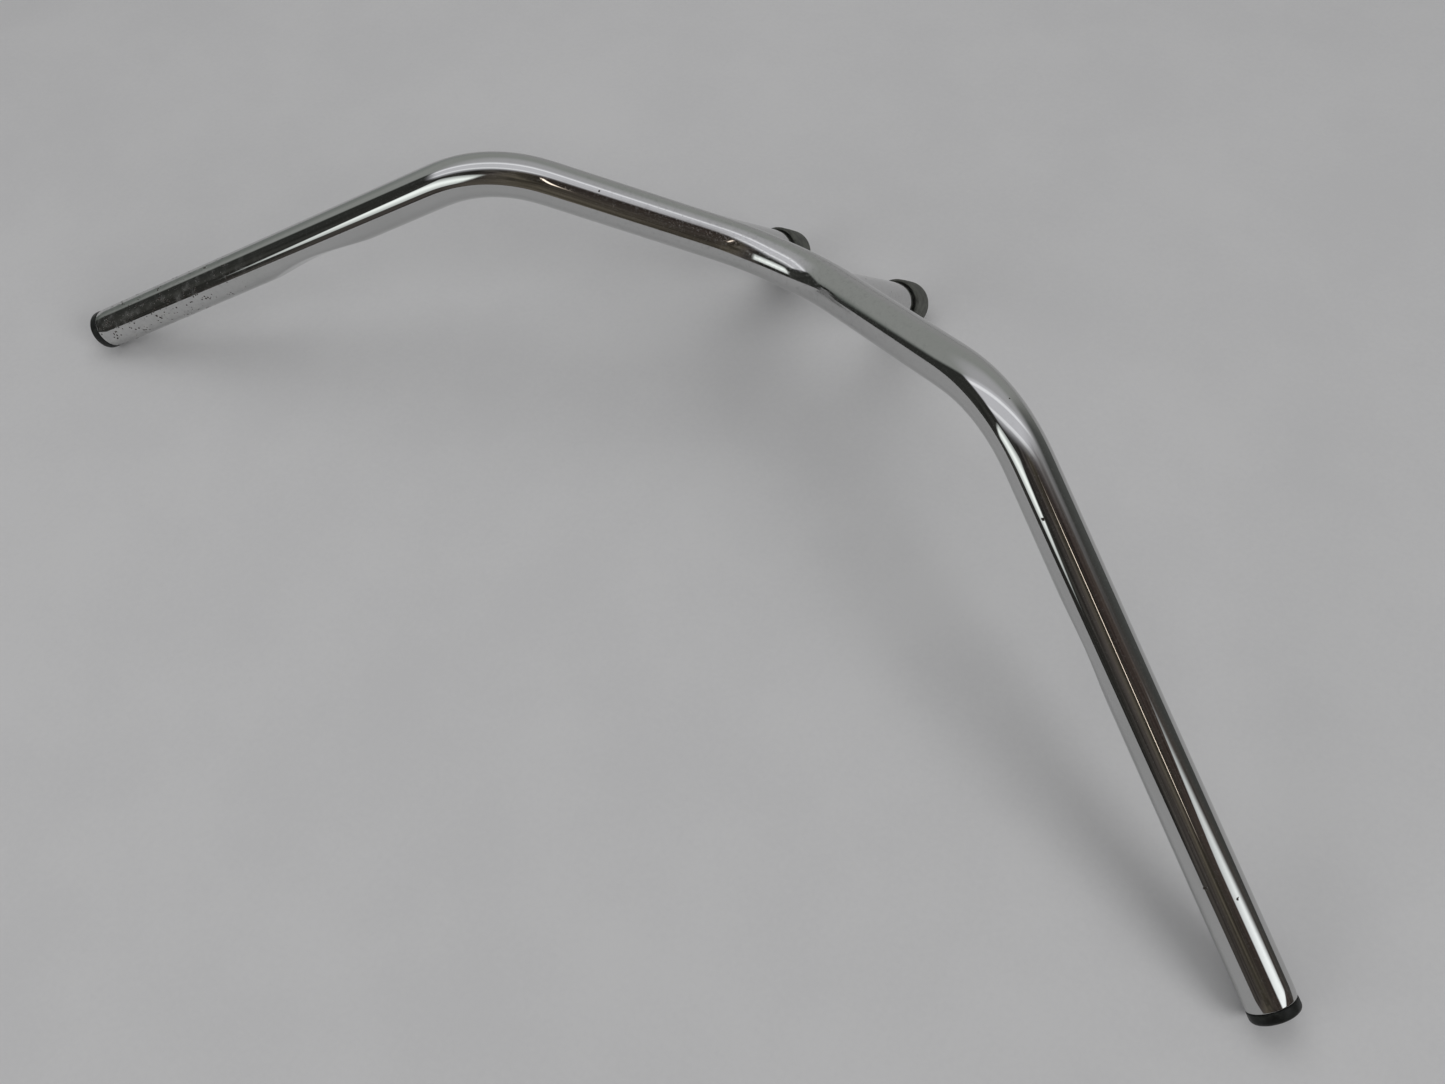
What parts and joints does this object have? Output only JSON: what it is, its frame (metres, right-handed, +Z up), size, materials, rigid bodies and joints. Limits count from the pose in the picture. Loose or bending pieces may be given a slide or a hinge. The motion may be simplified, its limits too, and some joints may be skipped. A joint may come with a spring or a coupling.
{
  "type": "handlebar",
  "caption": "Chromed cruiser handlebar: bent steel tube with swept-back grip ends, welded riser posts on rubber bushings, and black end plugs.",
  "frame": {"origin": "centre of the footprint, on the flat surface that the bar rests on with the rims of its plugs and bushings", "axes": "+X across the bike to the rider's right grip, +Z up from the surface it lies on, -Y towards the grip ends"},
  "size_m": [0.8214, 0.3132, 0.1494],
  "materials": {
    "chrome": "polished chrome plate with light haze and pitting",
    "insert_steel": "plain turned steel",
    "bushing_rubber": "dusty black rubber",
    "plug_plastic": "moulded black plastic, slightly worn"
  },
  "bodies": {
    "root": {"handlebar_tube": "chrome", "riser_post_left": "chrome", "riser_weld_left": "chrome", "riser_insert_left": "insert_steel", "bushing_sleeve_left": "insert_steel", "riser_bushing_left": "bushing_rubber", "end_plug_left": "plug_plastic", "riser_post_right": "chrome", "riser_weld_right": "chrome", "riser_insert_right": "insert_steel", "bushing_sleeve_right": "insert_steel", "riser_bushing_right": "bushing_rubber", "end_plug_right": "plug_plastic"}
  },
  "joints": []
}
